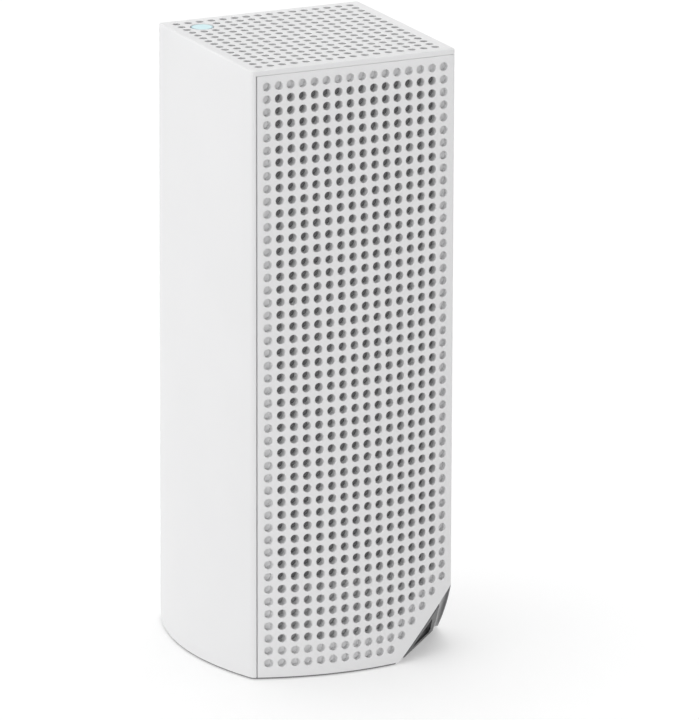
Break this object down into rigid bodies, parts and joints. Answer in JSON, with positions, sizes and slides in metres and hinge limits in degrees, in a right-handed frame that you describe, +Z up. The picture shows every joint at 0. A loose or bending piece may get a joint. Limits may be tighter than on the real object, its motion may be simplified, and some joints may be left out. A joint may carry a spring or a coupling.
{
  "type": "wireless router",
  "caption": "Square white Wi-Fi tower with two vented sides, a round status light on top and sockets in a bay in its base, with a corner cut for the cables.",
  "frame": {"origin": "middle of the footprint on the surface that the tower stands on", "axes": "+Z up; the vented sides face -Y and +X, the smooth sides face -X and +Y, and the corner between the vented sides is cut for the cables"},
  "size_m": [0.0792, 0.0792, 0.1854],
  "materials": {
    "white_shell": "satin moulded plastic",
    "base_grey": "fine moulded texture",
    "foot_rubber": "matt",
    "dark_frame": "matt",
    "black_plastic": "satin",
    "red_button": "satin",
    "diffuser": "milky translucent",
    "circuit_board": "solder mask",
    "anodised_aluminium": "black anodised",
    "zinc_steel": "zinc plated",
    "tinned_shield": "tinned",
    "thermal_pad": "soft pad",
    "antenna_metal": "stamped strip",
    "lead_sleeve": "wire sleeve",
    "label_paper": "blank film"
  },
  "bodies": {
    "tower": {"main_shell": "white_shell", "vent_panel": "white_shell", "base_tray": "base_grey", "rubber_foot": "foot_rubber", "inner_frame": "dark_frame", "ethernet_jack_1": "black_plastic", "ethernet_jack_2": "black_plastic", "dc_power_jack": "black_plastic", "power_switch_body": "black_plastic", "reset_tact_switch": "black_plastic", "board_connector": "black_plastic", "memory_chip_1": "black_plastic", "memory_chip_2": "black_plastic", "status_window": "diffuser", "light_guide": "diffuser", "status_led": "diffuser", "main_board": "circuit_board", "io_board": "circuit_board", "led_board": "circuit_board", "heatsink_front": "anodised_aluminium", "heatsink_rear": "anodised_aluminium", "base_screw_1": "zinc_steel", "base_screw_2": "zinc_steel", "base_screw_3": "zinc_steel", "base_screw_4": "zinc_steel", "heatsink_screw_1": "zinc_steel", "heatsink_screw_2": "zinc_steel", "heatsink_screw_3": "zinc_steel", "heatsink_screw_4": "zinc_steel", "shield_processor": "tinned_shield", "shield_radio_1": "tinned_shield", "shield_radio_2": "tinned_shield", "shield_radio_3": "tinned_shield", "thermal_pad_processor": "thermal_pad", "thermal_pad_radio_1": "thermal_pad", "thermal_pad_radio_2": "thermal_pad", "thermal_pad_radio_3": "thermal_pad", "antenna_1": "antenna_metal", "antenna_2": "antenna_metal", "antenna_3": "antenna_metal", "antenna_4": "antenna_metal", "antenna_5": "antenna_metal", "antenna_6": "antenna_metal", "antenna_lead_1": "lead_sleeve", "antenna_lead_2": "lead_sleeve", "antenna_lead_3": "lead_sleeve", "antenna_lead_4": "lead_sleeve", "antenna_lead_5": "lead_sleeve", "antenna_lead_6": "lead_sleeve", "led_cable": "lead_sleeve", "blank_label": "label_paper"},
    "rocker": {"power_rocker": "black_plastic"},
    "button": {"reset_button": "red_button"}
  },
  "joints": [
    {"name": "power_rocker_tilt", "type": "hinge", "parent": "tower", "child": "rocker", "pos_m": [-0.01203, -0.00997, 0.03], "axis": [0, 1, 0], "range_deg": [0, 16]},
    {"name": "reset_button_press", "type": "slide", "parent": "tower", "child": "button", "axis": [0, 0, 1], "range_m": [0, 0.0007], "stiffness_N_per_m": 300}
  ]
}
